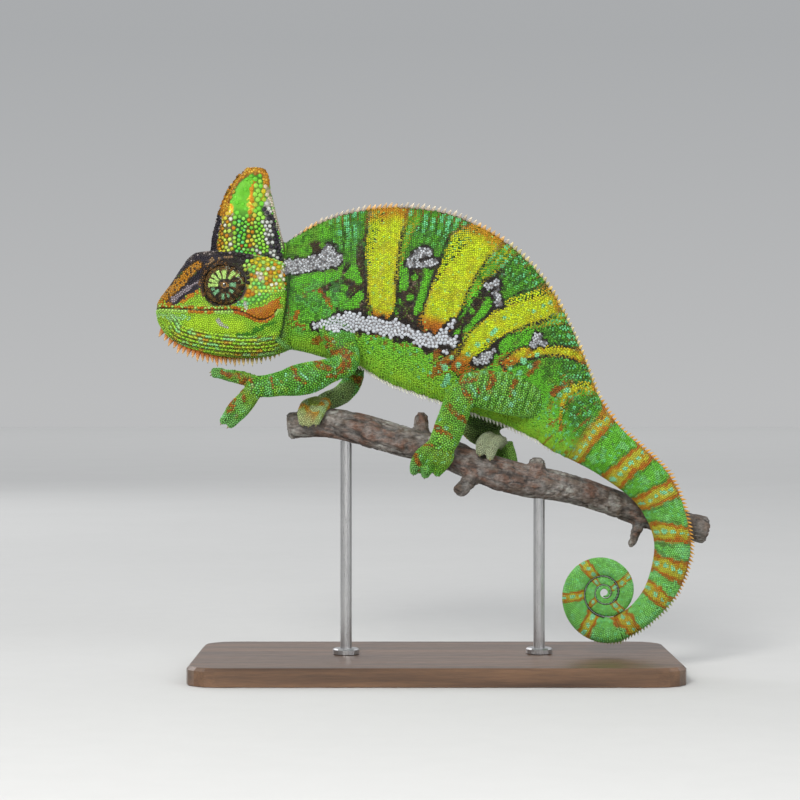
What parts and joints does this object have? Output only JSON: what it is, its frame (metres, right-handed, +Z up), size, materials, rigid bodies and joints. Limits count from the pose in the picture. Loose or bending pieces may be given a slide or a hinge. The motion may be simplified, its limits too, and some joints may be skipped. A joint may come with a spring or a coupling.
{
  "type": "veiled chameleon model",
  "caption": "Life-size still model of an adult male veiled chameleon with tall casque and coiled tail, gripping a short perch on a plain two-rod display stand.",
  "frame": {"origin": "centre of the underside of the base plate", "axes": "+X towards the tail (the animal faces -X), +Y towards the animal's right side, +Z up"},
  "size_m": [0.2518, 0.108, 0.2272],
  "materials": {
    "body_skin": "fine green granular scales with yellow, rust, dark brown and lilac-white markings",
    "head_skin": "plate scales in green, orange and yellow",
    "casque_skin": "bead-like plates, green in the middle, yellow and orange at the edges",
    "limb_skin": "round green scales with rust cross bands",
    "eye_skin": "fine scales in pale green rays on dark brown round a small glossy eye",
    "bark": "rough grey-brown bark",
    "base_wood": "dark stained wood, satin",
    "rod_steel": "brushed steel"
  },
  "bodies": {
    "root": {"neck": "body_skin", "trunk": "body_skin", "hip": "body_skin", "tail_base": "body_skin", "tail_middle": "body_skin", "tail_curl_outer": "body_skin", "tail_curl_inner": "body_skin", "head": "head_skin", "lower_jaw": "head_skin", "casque": "casque_skin", "eye_left": "eye_skin", "eye_right": "eye_skin", "upper_arm_left": "limb_skin", "forearm_left": "limb_skin", "thigh_left": "limb_skin", "shank_left": "limb_skin", "hand_left_inner_toes": "limb_skin", "foot_left_inner_toes": "limb_skin", "hand_left_outer_toes": "limb_skin", "foot_left_outer_toes": "limb_skin", "upper_arm_right": "limb_skin", "forearm_right": "limb_skin", "thigh_right": "limb_skin", "shank_right": "limb_skin", "hand_right_inner_toes": "limb_skin", "foot_right_inner_toes": "limb_skin", "hand_right_outer_toes": "limb_skin", "foot_right_outer_toes": "limb_skin", "perch_branch": "bark", "stand_base": "base_wood", "stand_rod_front": "rod_steel", "stand_rod_rear": "rod_steel"}
  },
  "joints": []
}
